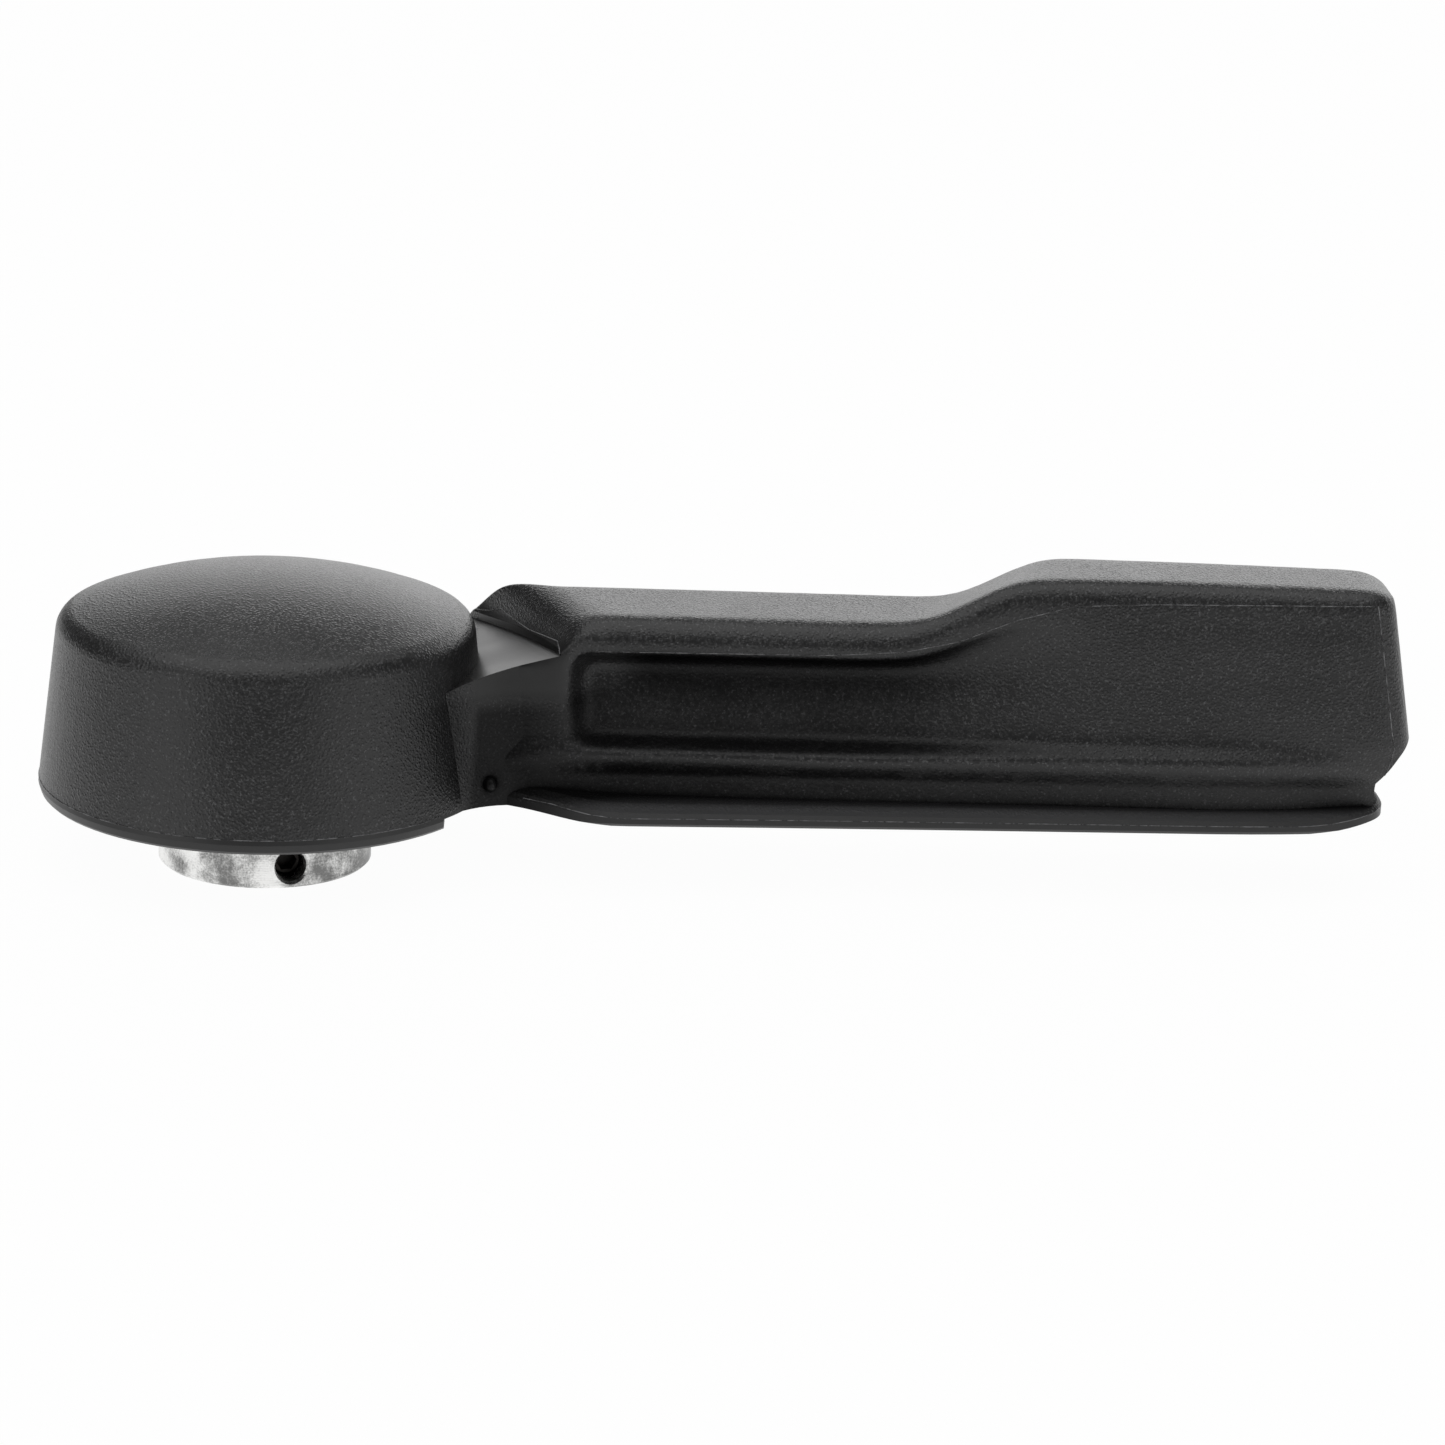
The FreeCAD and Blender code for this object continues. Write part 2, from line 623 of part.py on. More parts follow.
def handle_body(outside):
    """The one-piece moulding: hub, neck, grip and lip, formed round the insert."""
    to_shoulder = vec(hub_shoulder_radius, 0, 0)
    arm = arm_grip().fuse(arm_lip()).fuse(neck_corner_fill()).cut(neck_flat_cut())
    body = hub_drum().fuse(arm.translated(to_shoulder)).fuse(gate_mark().translated(to_shoulder))
    arm_cuts = [neck_underside_cut(), tip_underside_cut()] + core_pockets()
    arm_cuts = [cut.translated(to_shoulder) for cut in arm_cuts]
    body = body.cut(arm_cuts + [hub_pockets()]).translated(vec(0, 0, base_level))
    return body.cut(outside).removeSplitter()


def save(shape, node):
    solids = shape.Solids
    print(node, len(solids), "solids, volume", round(shape.Volume, 1), "valid", shape.isValid())
    shape = solids[0] if len(solids) == 1 else shape
    shape.exportStep(os.path.join("parts", node + ".step"))


os.makedirs("parts", exist_ok=True)
insert_outside = sleeve_outside()
save(handle_body(insert_outside), "handle_body")
save(hub_insert(insert_outside), "hub_insert")
save(set_screw(), "set_screw")
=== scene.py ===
import math

import bmesh
import bpy
from bpy.props import FloatProperty, FloatVectorProperty, PointerProperty
from bpy.types import Operator, Panel, PropertyGroup
from mathutils import Matrix, Vector
from mathutils.bvhtree import BVHTree


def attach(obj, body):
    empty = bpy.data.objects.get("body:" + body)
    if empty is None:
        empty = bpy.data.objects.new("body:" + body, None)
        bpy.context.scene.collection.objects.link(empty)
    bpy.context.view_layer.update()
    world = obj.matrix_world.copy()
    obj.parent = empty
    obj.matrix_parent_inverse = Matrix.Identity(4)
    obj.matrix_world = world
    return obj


bl_info = {
    "name": "Seat release handle",
    "version": (1, 0, 0),
    "blender": (4, 5, 0),
    "location": "View3D > Sidebar > Seat handle",
    "description": "Dresses a moulded seat release handle and lights it for a product view",
    "category": "Object",
}

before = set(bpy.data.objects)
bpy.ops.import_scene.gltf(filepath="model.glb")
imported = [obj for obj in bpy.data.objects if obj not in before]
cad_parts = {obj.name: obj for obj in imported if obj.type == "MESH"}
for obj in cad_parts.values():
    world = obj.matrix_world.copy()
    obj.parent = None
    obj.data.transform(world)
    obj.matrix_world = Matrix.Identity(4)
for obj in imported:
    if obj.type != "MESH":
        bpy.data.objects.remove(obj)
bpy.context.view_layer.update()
MM = 0.001

# Places on the moulding, in millimetres from the sleeve's end face and the hub's axis
HUB_SEAM_LEVEL = 9.55
HUB_SEAM_RADIUS = 24.29
HUB_SEAM_START = 42.0
HUB_SEAM_SIDES = 8
HUB_SEAM_STEPS = 160
HUB_SIDE = (24.2, 25.0)
# The corner's reach, top and shade place a painted shade in the hollow corners between the hub and the neck.
CORNER_REACH = (27.0, 37.0)
CORNER_TOP = (19.0, 21.0)
CORNER_PAINTED_SHADE = 0.4
# The neck top's level, reach and share lift the painted shade on the top of the neck.
NECK_TOP_LEVEL = (20.0, 22.0)
NECK_TOP_REACH = (36.0, 42.0)
NECK_TOP_SHADE_LIFT = 0.75
# The lip's level, start and share place the painted highlight on the top of the lip.
LIP_LEVEL = (9.6, 10.4)
LIP_START = (28.0, 38.0)
LIP_PAINTED_HIGHLIGHT = 0.45
FLAT_START = (22.4, 22.7)
FLAT_LEVEL = (19.5, 21.5)
FOLD_LEAN = 0.394
FOLD_REACH = (29.0, 29.7)

# Places in the sleeve's cross hole
TAPPED_HOLE_ANGLE = -72.0
TAPPED_HOLE_LEVEL = 2.4
TAPPED_HOLE_RADIUS = 1.7
THREAD_REACH = (6.4, 10.8)
THREAD_ROOT = 0.02
THREAD_HALF_WIDTH = 0.35
THREAD_STEPS_PER_TURN = 40

# Parting lines: the first value of each row is the place along the line, the second the place across it
ROLL_SEAM = ((35.5, 26.2), (60, 26.5), (68, 27.0), (74, 28.2), (80, 30.6), (86, 32.2), (95, 32.6),
             (118.2, 33.0))
LIP_SEAM = ((28, 10.0), (31, 9.75), (33, 9.4), (35, 9.1), (38, 8.85), (112.5, 8.85), (115, 9.0),
            (118, 9.4), (121, 9.9))
TIP_SEAM = ((12.6, 120.3), (15.4, 121.2), (17.5, 121.5), (19, 121.1), (23, 120.4), (28, 119.5),
            (33.0, 118.6))
FOLD_CREASE = ((-7.4, 31.6), (-5.1, 31.3), (2.6, 28.2), (11.4, 25.1), (17.6, 21.75))
FOLD_OFFSET = 0.12
IN_FRONT = -30
OVERHEAD = 60

# The room: where its white part begins and ends, across and upwards, as parts of a direction
SKY_TURN = (0.75, 1.05)
SKY_TOP = (0.28, 0.5)
FLOOR_DARK = (0.06, 0.06, 0.06)
FLOOR_LIGHT = (0.9, 0.9, 0.9)
FLOOR_GLOW = 0.97
WHITE = (1, 1, 1, 1)


class MouldingSettings(PropertyGroup):
    colour: FloatVectorProperty(
        name="Colour", description="Colour of the black moulding", subtype="COLOR", size=3,
        default=(0.011, 0.011, 0.0113), min=0, max=1)
    grain_size: FloatProperty(
        name="Grain size", description="Width of one pip of the moulded grain", unit="LENGTH",
        default=0.34 * MM, min=0.05 * MM)
    grain_depth: FloatProperty(
        name="Grain depth", description="Depth of the moulded grain", unit="LENGTH", default=0.07 * MM, min=0)
    # The specks are painted glints on the grain.
    painted_glint_share: FloatProperty(
        name="Speck share", description="How light the specks on the grain are", subtype="FACTOR",
        default=0.55, min=0, max=1)
    hollow_reach: FloatProperty(
        name="Hollow reach", description="How far a hollow looks for faces that shade it", unit="LENGTH",
        default=35 * MM, min=1 * MM)
    roughness: FloatProperty(
        name="Roughness", description="Roughness of the grained faces", subtype="FACTOR", default=0.32,
        min=0, max=1)
    bead: FloatProperty(
        name="Flash bead", description="Radius of the flash left along the parting lines", unit="LENGTH",
        default=0.07 * MM, min=0.01 * MM)


class SleeveSettings(PropertyGroup):
    colour: FloatVectorProperty(
        name="Colour", description="Colour of the die-cast sleeve", subtype="COLOR", size=3,
        default=(0.74, 0.74, 0.73), min=0, max=1)
    mottle_size: FloatProperty(
        name="Mottle size", description="Width of the cloudy patches of the casting", unit="LENGTH",
        default=2.5 * MM, min=0.1 * MM)
    thread_pitch: FloatProperty(
        name="Thread pitch", description="Pitch of the clamping screw's thread", unit="LENGTH",
        default=0.7 * MM, min=0.1 * MM)
    thread_depth: FloatProperty(
        name="Thread depth", description="Height of the crests, less than the screw's play", unit="LENGTH",
        default=0.04 * MM, min=0)


class StageSettings(PropertyGroup):
    lens: FloatProperty(
        name="Lens", description="Focal length of the camera", unit="CAMERA", default=107.13)
    place: FloatVectorProperty(
        name="Camera place", description="Where the camera stands", unit="LENGTH", size=3,
        subtype="TRANSLATION", default=(0.0298, -0.4468, 0.148))
    pitch: FloatProperty(
        name="Camera pitch", description="How far the camera looks down", subtype="ANGLE",
        default=math.radians(16.39))
    roll: FloatProperty(
        name="Camera roll", description="How far the camera leans", subtype="ANGLE",
        default=math.radians(2.234))
    turn: FloatProperty(
        name="Camera turn", description="How far the camera is turned about the vertical", subtype="ANGLE",
        default=math.radians(-2.5))
    floor_width: FloatProperty(
        name="Floor width", description="Width of the floor", unit="LENGTH", default=6.0)
    bright_floor: FloatProperty(
        name="Bright floor", description="How far in front of the object the floor is bright", unit="LENGTH",
        default=0.1, min=0.01)
    lamp_width: FloatProperty(
        name="Lamp width", description="Width of the soft lamp overhead", unit="LENGTH", default=2.2, min=0.1)
    lamp_power: FloatProperty(
        name="Lamp power", description="Power of the soft lamp overhead", unit="POWER", default=19.0, min=0)
    back_power: FloatProperty(
        name="Back lamp power", description="Power of the long soft lamp behind", unit="POWER",
        default=6.4, min=0)
    side_power: FloatProperty(
        name="Side lamp power", description="Power of the small soft lamps at the sides", unit="POWER",
        default=3.0, min=0)
    room: FloatProperty(
        name="Room light", description="Brightness of the room in front", default=0.08, min=0)


# Node helpers

def new_material(name):
    material = bpy.data.materials.new(name)
    material.use_nodes = True
    tree = material.node_tree
    return material, tree, tree.nodes["Principled BSDF"]


def add_node(tree, kind, settings=None, inputs=None):
    """Add a node, with its settings by name and its inputs by socket name or number."""
    node = tree.nodes.new(kind)
    for key, value in (settings or {}).items():
        setattr(node, key, value)
    for key, value in (inputs or {}).items():
        if isinstance(value, bpy.types.NodeSocket):
            tree.links.new(value, node.inputs[key])
        else:
            node.inputs[key].default_value = value
    return node


def object_place(tree):
    return add_node(tree, "ShaderNodeTexCoord").outputs["Object"]


def parts_of(tree, vector):
    return add_node(tree, "ShaderNodeSeparateXYZ", None, {0: vector}).outputs


def noise(tree, place, size, detail=2.0, roughness=0.5):
    return add_node(tree, "ShaderNodeTexNoise", None, {
        "Vector": place, "Scale": 1 / size, "Detail": detail, "Roughness": roughness}).outputs["Fac"]


def math_node(tree, operation, first, second):
    return add_node(tree, "ShaderNodeMath", {"operation": operation}, {0: first, 1: second}).outputs[0]


def multiply(tree, first, *others):
    for other in others:
        first = math_node(tree, "MULTIPLY", first, other)
    return first


def add(tree, first, second):
    return math_node(tree, "ADD", first, second)


def larger(tree, first, second):
    return math_node(tree, "MAXIMUM", first, second)


def rest_of(tree, share):
    return math_node(tree, "SUBTRACT", 1.0, share)


def map_range(tree, value, low, high, to_low, to_high, smooth=False):
    kind = "SMOOTHSTEP" if smooth else "LINEAR"
    return add_node(tree, "ShaderNodeMapRange", {"interpolation_type": kind}, {
        "Value": value, "From Min": low, "From Max": high, "To Min": to_low,
        "To Max": to_high}).outputs["Result"]


def fade(tree, value, reach, start, end):
    """A soft change from start to end over a reach in millimetres."""
    return map_range(tree, value, reach[0] * MM, reach[1] * MM, start, end, True)


def tint(tree, fac, dark, light):
    """A colour that runs from dark to light with fac."""
    node = add_node(tree, "ShaderNodeMix", {"data_type": "RGBA"}, {0: fac})
    node.inputs["A"].default_value = (*dark, 1)
    node.inputs["B"].default_value = (*light, 1)
    return node.outputs["Result"]


def scaled(colour, factor):
    return tuple(channel * factor for channel in colour)


def raise_relief(tree, shader, height, strength, depth):
    """Bump the shader's surface by a height that runs from 0 to 1 over the depth."""
    bump = add_node(tree, "ShaderNodeBump", None, {"Height": height, "Strength": strength, "Distance": depth})
    tree.links.new(bump.outputs["Normal"], shader.inputs["Normal"])


# Materials

def grained_share(tree, parts):
    """1 on the grained faces, 0 on the smooth ones: under the hub's seam and on the neck's flat."""
    band = fade(tree, parts["Z"], (HUB_SEAM_LEVEL - 0.15, HUB_SEAM_LEVEL + 0.1), 0.0, 1.0)
    inner = map_range(tree, parts["X"], FLAT_START[0] * MM, FLAT_START[1] * MM, 0.0, 1.0)
    outer = fade(tree, add(tree, parts["X"], multiply(tree, parts["Y"], FOLD_LEAN)), FOLD_REACH, 1.0, 0.0)
    flat = multiply(tree, inner, outer, fade(tree, parts["Z"], FLAT_LEVEL, 0.0, 1.0))
    return multiply(tree, band, rest_of(tree, flat))


def lip_painted_highlight(tree, parts):
    """Painted highlight on the upward faces of the top of the lip along the grip's foot: how much lighter
    they are.
    """
    facing = parts_of(tree, add_node(tree, "ShaderNodeNewGeometry").outputs["Normal"])
    upward = map_range(tree, facing["Z"], 0.6, 0.9, 0.0, LIP_PAINTED_HIGHLIGHT, True)
    low = fade(tree, parts["Z"], LIP_LEVEL, 1.0, 0.0)
    return multiply(tree, upward, low, fade(tree, parts["X"], LIP_START, 0.0, 1.0))


def painted_corner_shade(tree, parts):
    """Painted shade in the hollow corners between the hub and the neck: 1 there, 0 elsewhere."""
    level = add_node(tree, "ShaderNodeCombineXYZ", None, {"X": parts["X"], "Y": parts["Y"]}).outputs[0]
    reach = add_node(tree, "ShaderNodeVectorMath", {"operation": "LENGTH"}, {0: level}).outputs["Value"]
    inner = fade(tree, parts["X"], CORNER_REACH, 1.0, 0.0)
    low = fade(tree, parts["Z"], CORNER_TOP, 1.0, 0.0)
    return multiply(tree, fade(tree, reach, HUB_SIDE, 0.0, 1.0), inner, low)


def neck_top_shade_lift(tree, parts):
    """Painted light on the top of the neck beside the taller hub: the least that the painted shade factor may
    be there.
    """
    high = fade(tree, parts["Z"], NECK_TOP_LEVEL, 0.0, 1.0)
    return multiply(tree, high, fade(tree, parts["X"], NECK_TOP_REACH, NECK_TOP_SHADE_LIFT, 0.0))


def painted_hollow_shade(tree, parts, hollow_reach):
    """Painted shade: 1 on open faces, less in hollows."""
    seen = add_node(tree, "ShaderNodeAmbientOcclusion", {"samples": 6, "only_local": True},
                    {"Distance": hollow_reach}).outputs["AO"]
    share = map_range(tree, seen, 0.74, 0.985, 0.02, 1.0)
    corner = map_range(tree, painted_corner_shade(tree, parts), 0.0, 1.0, 1.0, CORNER_PAINTED_SHADE)
    return larger(tree, multiply(tree, share, corner), neck_top_shade_lift(tree, parts))


def moulding_material(settings):
    """Black moulded plastic with a coarse eroded grain and a few smooth faces, with painted glints on the
    grain, a painted highlight on the top of the lip and painted shade in the hollows.
    """
    material, tree, shader = new_material("Black moulding")
    place = object_place(tree)
    parts = parts_of(tree, place)
    size = settings.grain_size
    cells = add_node(tree, "ShaderNodeTexVoronoi", {"feature": "SMOOTH_F1"}, {
        "Vector": place, "Scale": 1 / size, "Smoothness": 0.4}).outputs["Distance"]
    pips = map_range(tree, cells, 0.1, 0.6, 1.0, 0.0, True)
    fine = noise(tree, place, size * 0.6, 3.0, 0.65)
    grain = add(tree, multiply(tree, pips, 0.6), multiply(tree, fine, 0.6))
    grained = grained_share(tree, parts)
    patches = noise(tree, place, 9 * MM, 2.0)
    strength = multiply(tree, map_range(tree, grained, 0.0, 1.0, 0.05, 1.0),
                        map_range(tree, patches, 0.3, 0.7, 0.65, 1.0))
    raise_relief(tree, shader, grain, strength, settings.grain_depth)

    # Painted shade: a factor that darkens colour and reflection in hollows and in the hub's corners.
    painted_shade_factor = painted_hollow_shade(tree, parts, settings.hollow_reach)
    # The tone follows the grain and random patches, darkened by the painted shade.
    shade = multiply(tree, add(tree, multiply(tree, grain, grained), patches),
                     multiply(tree, painted_shade_factor, 0.6))
    # Painted glints and highlight: light specks on the grain that fade with the painted shade, and the
    # painted highlight on the top of the lip, both mixed towards a much lighter colour.
    specks = map_range(tree, noise(tree, place, size * 0.8, 1.0), 0.6, 0.72, 0.0, settings.painted_glint_share)
    light = larger(tree, multiply(tree, specks, grained, painted_shade_factor), lip_painted_highlight(tree, parts))
    colour = add_node(tree, "ShaderNodeMix", {"data_type": "RGBA"}, {0: light})
    tree.links.new(tint(tree, shade, scaled(settings.colour, 0.3), scaled(settings.colour, 2.0)),
                   colour.inputs["A"])
    colour.inputs["B"].default_value = (*scaled(settings.colour, 9), 1)
    tree.links.new(colour.outputs["Result"], shader.inputs["Base Color"])

    rough = map_range(tree, fine, 0.3, 0.7, settings.roughness - 0.04, settings.roughness + 0.06)
    smooth = map_range(tree, patches, 0.3, 0.7, 0.32, 0.4)
    tree.links.new(add(tree, multiply(tree, rough, grained), multiply(tree, smooth, rest_of(tree, grained))),
                   shader.inputs["Roughness"])
    # The painted shade also dims the reflection in hollows.
    tree.links.new(multiply(tree, painted_shade_factor, 0.5), shader.inputs["Specular IOR Level"])
    return material


def flash_painted_highlight_material(settings):
    """The same plastic where it squeezed into the mould's joint, lighter in dashes: a painted highlight along
    the thin beads.
    """
    material, tree, shader = new_material("Moulding flash painted highlight")
    dashes = map_range(tree, noise(tree, object_place(tree), 1.5 * MM, 4.0, 0.7), 0.42, 0.62, 0.0, 1.0)
    tree.links.new(tint(tree, dashes, scaled(settings.colour, 1.5), scaled(settings.colour, 16)),
                   shader.inputs["Base Color"])
    tree.links.new(map_range(tree, dashes, 0.0, 1.0, 0.25, 0.4), shader.inputs["Roughness"])
    return material


def casting_material(settings):
    """Die-cast metal: cloudy, darker towards one side as painted shade, with fine turned lines."""
    material, tree, shader = new_material("Die-cast metal")
    place = object_place(tree)
    size = settings.mottle_size
    clouds = noise(tree, place, size, 5.0, 0.65)
    specks = noise(tree, place, size / 12, 3.0, 0.6)
    # The wide patches run darker towards one side of the sleeve: painted shade.
    wide = add(tree, noise(tree, place, size * 2.2, 1.0),
               fade(tree, parts_of(tree, place)["X"], (3, 8), 0.05, -0.2))
    shade = add(tree, add(tree, multiply(tree, clouds, 0.4), multiply(tree, specks, 0.2)),
                multiply(tree, wide, 0.4))
    tree.links.new(tint(tree, map_range(tree, shade, 0.4, 0.6, 0, 1, True), scaled(settings.colour, 0.25),
                        scaled(settings.colour, 1.3)), shader.inputs["Base Color"])
    tree.links.new(map_range(tree, clouds, 0.3, 0.7, 0.2, 0.5), shader.inputs["Roughness"])
    lines = add_node(tree, "ShaderNodeTexWave", {"bands_direction": "Z"}, {
        "Vector": place, "Scale": 1200.0, "Distortion": 3.0, "Detail": 2.0}).outputs["Fac"]
    raise_relief(tree, shader, add(tree, clouds, multiply(tree, lines, 0.08)), 0.6, 0.12 * MM)
    shader.inputs["Metallic"].default_value = 1.0
    return material


def screw_material():
    """Blackened, lightly oiled steel."""
    material, tree, shader = new_material("Blackened steel")
    wear = noise(tree, object_place(tree), 0.5 * MM, 4.0, 0.6)
    tree.links.new(tint(tree, wear, (0.008, 0.008, 0.009), (0.04, 0.036, 0.032)),
                   shader.inputs["Base Color"])
    tree.links.new(map_range(tree, wear, 0.3, 0.7, 0.3, 0.5), shader.inputs["Roughness"])
    raise_relief(tree, shader, wear, 0.3, 0.03 * MM)
    shader.inputs["Metallic"].default_value = 0.9
    return material


def dress(node, material):
    """Give a carried-over node its finish."""
    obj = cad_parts[node]
    obj.data.materials.clear()
    obj.data.materials.append(material)


# Pieces

def mesh_object(name, shape, material, body):
    """Make a bmesh an object of its own on a body."""
    mesh = bpy.data.meshes.new(name)
    shape.to_mesh(mesh)
    shape.free()
    mesh.materials.append(material)
    obj = bpy.data.objects.new(name, mesh)
    bpy.context.scene.collection.objects.link(obj)
    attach(obj, body)
    return obj


def close_shell(shape):
    """Fill the open ends of a spun shape and turn its faces outwards."""
    bmesh.ops.holes_fill(shape, edges=[edge for edge in shape.edges if edge.is_boundary])
    bmesh.ops.recalc_face_normals(shape, faces=shape.faces)


def moulding_surface():
    """The moulding's surface, to lay lines on."""
    shape = bmesh.new()
    shape.from_mesh(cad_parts["handle_body"].data)
    tree = BVHTree.FromBMesh(shape)
    shape.free()
    return tree


def laid_line(name, starts, direction, bead, material):
    """A thin bead along the moulding, found by looking from each start along a direction."""
    surface = moulding_surface()
    found = [surface.ray_cast(Vector(start) * MM, Vector(direction))[0] for start in starts]
    points = [point for point in found if point is not None]
    if len(points) < 2:
        raise RuntimeError("no surface under " + name)
    curve = bpy.data.curves.new(name, "CURVE")
    curve.dimensions = "3D"
    curve.bevel_depth = bead
    curve.bevel_resolution = 2
    curve.use_fill_caps = True
    spline = curve.splines.new("POLY")
    spline.points.add(len(points) - 1)
    for spot, point in zip(spline.points, points):
        spot.co = (*point, 1)
    path = bpy.data.objects.new(name + "_path", curve)
    bpy.context.scene.collection.objects.link(path)
    drawn = bpy.data.meshes.new_from_object(path.evaluated_get(bpy.context.evaluated_depsgraph_get()))
    shape = bmesh.new()
    shape.from_mesh(drawn)
    bpy.data.objects.remove(path)
    bpy.data.curves.remove(curve)
    bpy.data.meshes.remove(drawn)
    bmesh.ops.remove_doubles(shape, verts=shape.verts, dist=bead * 0.01)
    bmesh.ops.recalc_face_normals(shape, faces=shape.faces)
    return mesh_object(name, shape, material, "handle")


def table_value(rows, place):
    """The value at a place, between the rows of a table of places and values."""
    for (low, first), (high, last) in zip(rows, rows[1:]):
        if place <= high:
            return first + (last - first) * max(place - low, 0) / (high - low)
    return rows[-1][1]


def line_points(rows, count, trim=0.0):
    """Pairs of place and value at even steps along a table, short of its ends by the trim."""
    low, high = rows[0][0] + trim, rows[-1][0] - trim
    places = [low + (high - low) * step / (count - 1) for step in range(count)]
    return [(place, table_value(rows, place)) for place in places]


class HANDLE_OT_moulding(Operator):
    """Finish the black moulding with its grain"""
    bl_idname = "handle.moulding"
    bl_label = "Black moulding"

    def execute(self, context):
        dress("handle_body", moulding_material(context.scene.handle_moulding))
        return {"FINISHED"}


class HANDLE_OT_parting_lines(Operator):
    """Lay the thin flash that the mould's joints leave on the roll, the tip and the lip, and a thin bead on
    the fold's edge, all in the flash's lighter colour, which is a painted highlight
    """
    bl_idname = "handle.parting_lines"
    bl_label = "Parting lines"

    def execute(self, context):
        settings = context.scene.handle_moulding
        bead = settings.bead
        roll = [(x, IN_FRONT, z) for x, z in line_points(ROLL_SEAM, 90)]
        tip = [(x, IN_FRONT, z) for z, x in line_points(TIP_SEAM, 40)]
        lip = [(x, IN_FRONT, z) for x, z in line_points(LIP_SEAM, 150)]
        fold = [(x - FOLD_OFFSET, y, OVERHEAD) for y, x in line_points(FOLD_CREASE, 60, 0.2)]
        finish = flash_painted_highlight_material(settings)
        laid_line("roll_seam", roll, (0, 1, 0), bead * 0.8, finish)
        laid_line("tip_seam", tip, (0, 1, 0), bead, finish)
        laid_line("lip_seam", lip, (0, 1, 0), bead * 0.7, finish)
        laid_line("fold_crease", fold, (0, 0, -1), bead, finish)
        return {"FINISHED"}


class HANDLE_OT_hub_seam(Operator):
    """Turn the fine flash that runs round the hub just above its base, in the flash's lighter colour, which
    is a painted highlight
    """
    bl_idname = "handle.hub_seam"
    bl_label = "Hub seam"

    def execute(self, context):
        settings = context.scene.handle_moulding
        shape = bmesh.new()
        ring = bmesh.ops.create_circle(shape, segments=HUB_SEAM_SIDES, radius=settings.bead * 0.8)
        spot = Matrix.Translation(Vector((HUB_SEAM_RADIUS, 0, HUB_SEAM_LEVEL)) * MM)
        bmesh.ops.transform(shape, matrix=spot @ Matrix.Rotation(math.pi / 2, 4, "X"), verts=ring["verts"])
        start = math.radians(HUB_SEAM_START)
        bmesh.ops.rotate(shape, cent=(0, 0, 0), matrix=Matrix.Rotation(start, 3, "Z"), verts=shape.verts)
        bmesh.ops.spin(shape, geom=shape.verts[:] + shape.edges[:], cent=(0, 0, 0), axis=(0, 0, 1),
                       dvec=(0, 0, 0), angle=2 * math.pi - 2 * start, steps=HUB_SEAM_STEPS,
                       use_merge=False, use_duplicate=False)
        close_shell(shape)
        mesh_object("hub_seam", shape, flash_painted_highlight_material(settings), "handle")
        return {"FINISHED"}


class HANDLE_OT_sleeve(Operator):
    """Finish the die-cast sleeve and turn the low crests of the thread in its cross hole"""
    bl_idname = "handle.sleeve"
    bl_label = "Sleeve and thread"

    def execute(self, context):
        settings = context.scene.handle_sleeve
        metal = casting_material(settings)
        dress("hub_insert", metal)
        pitch = settings.thread_pitch
        wall = TAPPED_HOLE_RADIUS * MM
        root = wall + THREAD_ROOT * MM
        start = THREAD_REACH[0] * MM
        shape = bmesh.new()
        crest = [shape.verts.new((root, 0, start - pitch * THREAD_HALF_WIDTH)),
                 shape.verts.new((wall - settings.thread_depth, 0, start)),
                 shape.verts.new((root, 0, start + pitch * THREAD_HALF_WIDTH))]
        edges = [shape.edges.new((crest[0], crest[1])), shape.edges.new((crest[1], crest[2])),
                 shape.edges.new((crest[2], crest[0]))]
        number = int((THREAD_REACH[1] * MM - start) / pitch * THREAD_STEPS_PER_TURN)
        bmesh.ops.spin(shape, geom=crest + edges, cent=(0, 0, 0), axis=(0, 0, 1),
                       dvec=(0, 0, pitch / THREAD_STEPS_PER_TURN),
                       angle=2 * math.pi * number / THREAD_STEPS_PER_TURN, steps=number,
                       use_merge=False, use_duplicate=False)
        close_shell(shape)
        outward = (Matrix.Rotation(math.radians(TAPPED_HOLE_ANGLE), 4, "Z")
                   @ Matrix.Rotation(math.pi / 2, 4, "Y"))
        lift = Matrix.Translation((0, 0, TAPPED_HOLE_LEVEL * MM))
        bmesh.ops.transform(shape, matrix=lift @ outward, verts=shape.verts)
        mesh_object("hole_thread", shape, metal, "handle")
        return {"FINISHED"}


class HANDLE_OT_screw(Operator):
    """Finish the grub screw"""
    bl_idname = "handle.screw"
    bl_label = "Grub screw"

    def execute(self, context):
        dress("set_screw", screw_material())
        return {"FINISHED"}


# Stage

def white_share(tree, level):
    """1 for camera and transmission rays, the level for glossy rays and 0 for the rest."""
    path = add_node(tree, "ShaderNodeLightPath").outputs
    seen = larger(tree, path["Is Camera Ray"], multiply(tree, path["Is Glossy Ray"], level))
    return larger(tree, seen, path["Is Transmission Ray"])


def mix_shaders(tree, share, first, second):
    return add_node(tree, "ShaderNodeMixShader", None, {0: share, 1: first.outputs[0], 2: second.outputs[0]})


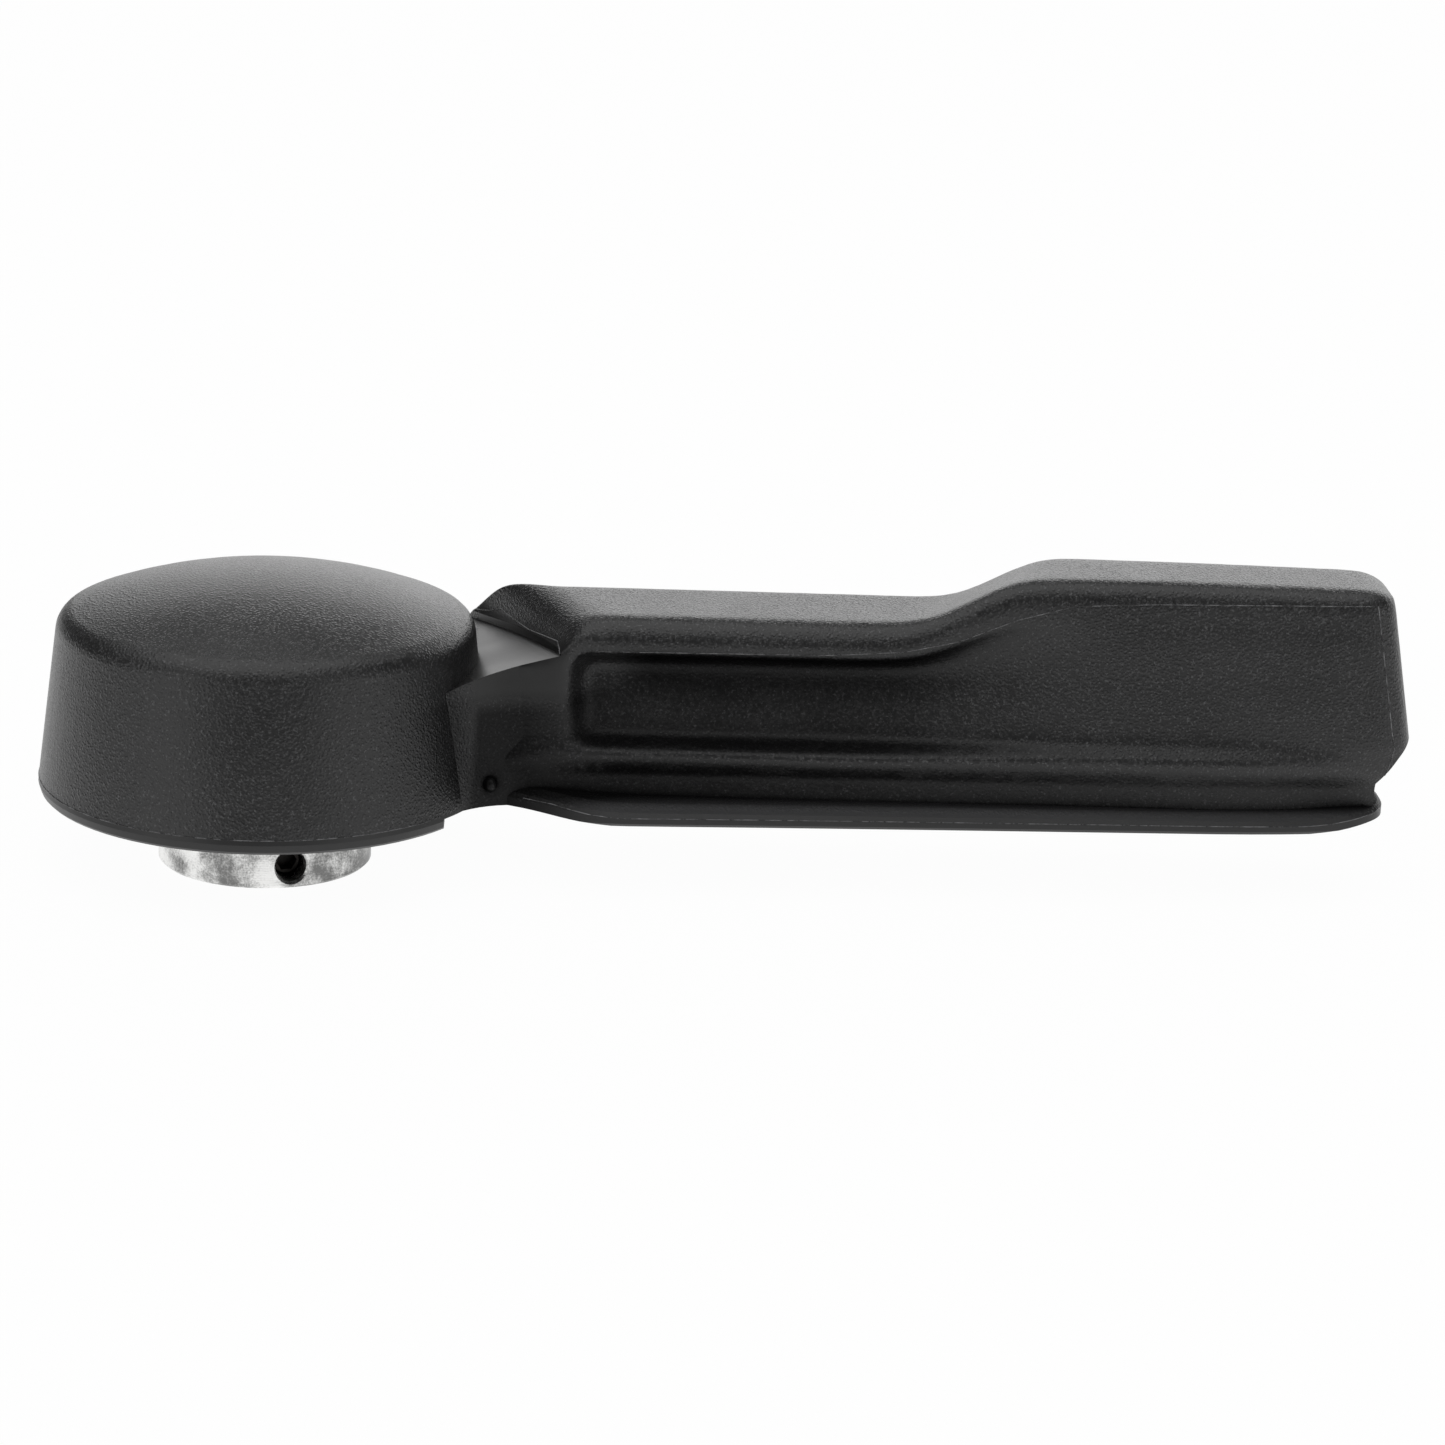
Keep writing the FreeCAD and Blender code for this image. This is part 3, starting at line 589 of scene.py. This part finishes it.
class HANDLE_OT_stage(Operator):
    """Set the white floor, the soft lamps, the sky and the camera"""
    bl_idname = "handle.stage"
    bl_label = "Stage"

    def execute(self, context):
        settings = context.scene.handle_stage
        self.floor(settings)
        self.lamps(settings)
        self.sky(settings)
        self.camera(settings)
        context.scene.view_settings.view_transform = "Standard"
        return {"FINISHED"}

    def floor(self, settings):
        """A white floor, bright round the object, darker towards the room in front, and clear from below."""
        shape = bmesh.new()
        bmesh.ops.create_grid(shape, x_segments=1, y_segments=1, size=settings.floor_width / 2)
        mesh = bpy.data.meshes.new("floor")
        shape.to_mesh(mesh)
        shape.free()
        material, tree, shader = new_material("White floor")
        shader.inputs["Roughness"].default_value = 0.9
        parts = parts_of(tree, object_place(tree))
        sideways = multiply(tree, math_node(tree, "ABSOLUTE", parts["X"], 0.0), 0.25)
        near = map_range(tree, add(tree, parts["Y"], sideways), -settings.bright_floor * 1.8,
                         -settings.bright_floor, 0.0, 1.0, True)
        white = white_share(tree, near)
        tree.links.new(tint(tree, larger(tree, white, near), FLOOR_DARK, FLOOR_LIGHT),
                       shader.inputs["Base Color"])
        glow = add_node(tree, "ShaderNodeEmission", None, {"Strength": 1.0})
        above = mix_shaders(tree, multiply(tree, white, FLOOR_GLOW), shader, glow)
        below = add_node(tree, "ShaderNodeNewGeometry").outputs["Backfacing"]
        finish = mix_shaders(tree, below, above, add_node(tree, "ShaderNodeBsdfTransparent"))
        tree.links.new(finish.outputs[0], tree.nodes["Material Output"].inputs["Surface"])
        mesh.materials.append(material)
        obj = bpy.data.objects.new("floor", mesh)
        bpy.context.scene.collection.objects.link(obj)

    def lamps(self, settings):
        """A wide soft box overhead, a long low one behind the object and a small one at each side."""
        for name, away, width, height, power in (
                ("overhead", (-0.1, -0.25, 1.2), settings.lamp_width, settings.lamp_width,
                 settings.lamp_power),
                ("behind", (0.45, 1.5, 0.55), 2.4, 0.7, settings.back_power),
                ("left", (-1.1, -1.1, 0.25), 0.9, 0.5, settings.side_power),
                ("right", (1.2, -1.0, 0.25), 0.9, 0.5, settings.side_power * 0.7)):
            light = bpy.data.lights.new(name, "AREA")
            light.shape = "RECTANGLE"
            light.size = width
            light.size_y = height
            light.energy = power
            obj = bpy.data.objects.new(name, light)
            bpy.context.scene.collection.objects.link(obj)
            away = Vector(away)
            obj.matrix_world = Matrix.Translation(away) @ away.to_track_quat("Z", "Y").to_matrix().to_4x4()
            obj.visible_camera = False

    def sky(self, settings):
        """White to the camera and low down behind the object, with a dim room elsewhere."""
        world = bpy.data.worlds.new("White room")
        world.use_nodes = True
        bpy.context.scene.world = world
        tree = world.node_tree
        tree.nodes.clear()
        parts = parts_of(tree, add_node(tree, "ShaderNodeTexCoord").outputs["Generated"])
        turned = add(tree, parts["Y"], multiply(tree, parts["X"], 0.5))
        behind = map_range(tree, turned, *SKY_TURN, 0.0, 1.0, True)
        level = multiply(tree, behind, map_range(tree, parts["Z"], *SKY_TOP, 1.0, 0.0, True))
        dim = map_range(tree, level, 0.0, 1.0, settings.room, 1.0)
        room = add_node(tree, "ShaderNodeBackground", None, {"Color": WHITE, "Strength": dim})
        white = add_node(tree, "ShaderNodeBackground", None, {"Color": WHITE, "Strength": 1.0})
        mixed = mix_shaders(tree, white_share(tree, level), room, white)
        out = add_node(tree, "ShaderNodeOutputWorld")
        tree.links.new(mixed.outputs[0], out.inputs["Surface"])

    def camera(self, settings):
        """Stand at the photograph's place: turned, pitched down and leaning a little."""
        pitch, roll, turn = settings.pitch, settings.roll, settings.turn
        right = Vector((math.cos(turn), math.sin(turn), 0))
        level = Vector((-math.sin(turn), math.cos(turn), 0))
        ahead = level * math.cos(pitch) - Vector((0, 0, 1)) * math.sin(pitch)
        up = right.cross(ahead)
        leaned_right = right * math.cos(roll) + up * math.sin(roll)
        leaned_up = up * math.cos(roll) - right * math.sin(roll)
        data = bpy.data.cameras.new("camera")
        data.lens = settings.lens
        data.sensor_width = 36.0
        data.clip_start = 0.01
        obj = bpy.data.objects.new("camera", data)
        turned = Matrix((leaned_right, leaned_up, -ahead)).transposed()
        obj.matrix_world = Matrix.Translation(settings.place) @ turned.to_4x4()
        bpy.context.scene.collection.objects.link(obj)
        bpy.context.scene.camera = obj


class HANDLE_PT_panel(Panel):
    bl_label = "Seat release handle"
    bl_idname = "HANDLE_PT_panel"
    bl_space_type = "VIEW_3D"
    bl_region_type = "UI"
    bl_category = "Seat handle"

    def draw(self, context):
        scene = context.scene
        for settings in (scene.handle_moulding, scene.handle_sleeve, scene.handle_stage):
            box = self.layout.box()
            for key in settings.__annotations__:
                box.prop(settings, key)
        for step in STEPS:
            self.layout.operator(step.bl_idname)


STEPS = (HANDLE_OT_moulding, HANDLE_OT_parting_lines, HANDLE_OT_hub_seam, HANDLE_OT_sleeve,
         HANDLE_OT_screw, HANDLE_OT_stage)
CLASSES = (MouldingSettings, SleeveSettings, StageSettings) + STEPS + (HANDLE_PT_panel,)


def register():
    for cls in CLASSES:
        bpy.utils.register_class(cls)
    bpy.types.Scene.handle_moulding = PointerProperty(type=MouldingSettings)
    bpy.types.Scene.handle_sleeve = PointerProperty(type=SleeveSettings)
    bpy.types.Scene.handle_stage = PointerProperty(type=StageSettings)


def unregister():
    del bpy.types.Scene.handle_stage
    del bpy.types.Scene.handle_sleeve
    del bpy.types.Scene.handle_moulding
    for cls in reversed(CLASSES):
        bpy.utils.unregister_class(cls)


def main():
    register()
    bpy.ops.handle.moulding()
    bpy.ops.handle.parting_lines()
    bpy.ops.handle.hub_seam()
    bpy.ops.handle.sleeve()
    bpy.ops.handle.screw()
    bpy.ops.handle.stage()


if __name__ == "__main__":
    main()
